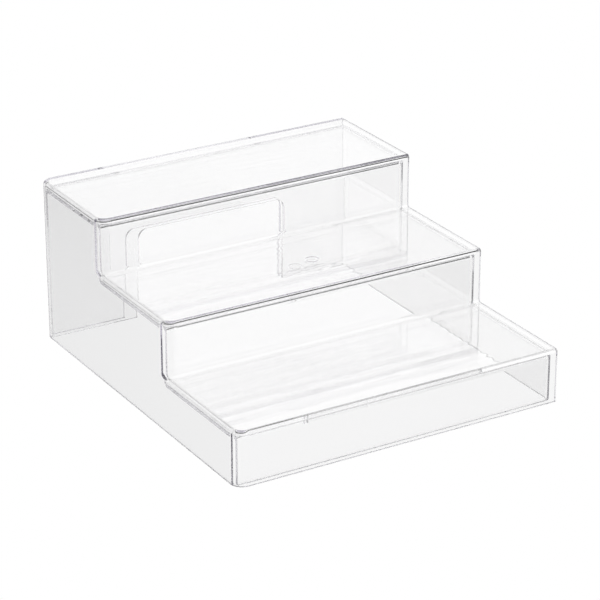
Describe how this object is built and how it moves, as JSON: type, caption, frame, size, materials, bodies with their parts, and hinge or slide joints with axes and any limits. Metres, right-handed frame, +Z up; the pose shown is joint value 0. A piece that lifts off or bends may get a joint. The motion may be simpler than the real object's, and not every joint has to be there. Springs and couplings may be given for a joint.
{
  "type": "expandable tiered shelf",
  "caption": "Clear plastic stepped shelf riser of nested open-bottomed shells that slide apart sideways to widen it, with rounded closed ends and a grip notch in the back.",
  "frame": {"origin": "on the floor, under the middle of the closed shelf", "axes": "+X along the slide, the way the inner shelf pulls out; +Y from the low front tread to the high back; +Z up"},
  "size_m": [0.22, 0.246, 0.1056],
  "materials": {
    "outer_clear_plastic": "clear, polished, injection moulded",
    "inner_clear_plastic": "clear, polished, injection moulded"
  },
  "bodies": {
    "outer": {"outer_shelf": "outer_clear_plastic"},
    "inner": {"inner_shelf": "inner_clear_plastic"}
  },
  "joints": [
    {"name": "shelf_slide", "type": "slide", "parent": "outer", "child": "inner", "axis": [1, 0, 0], "range_m": [0, 0.16]}
  ]
}
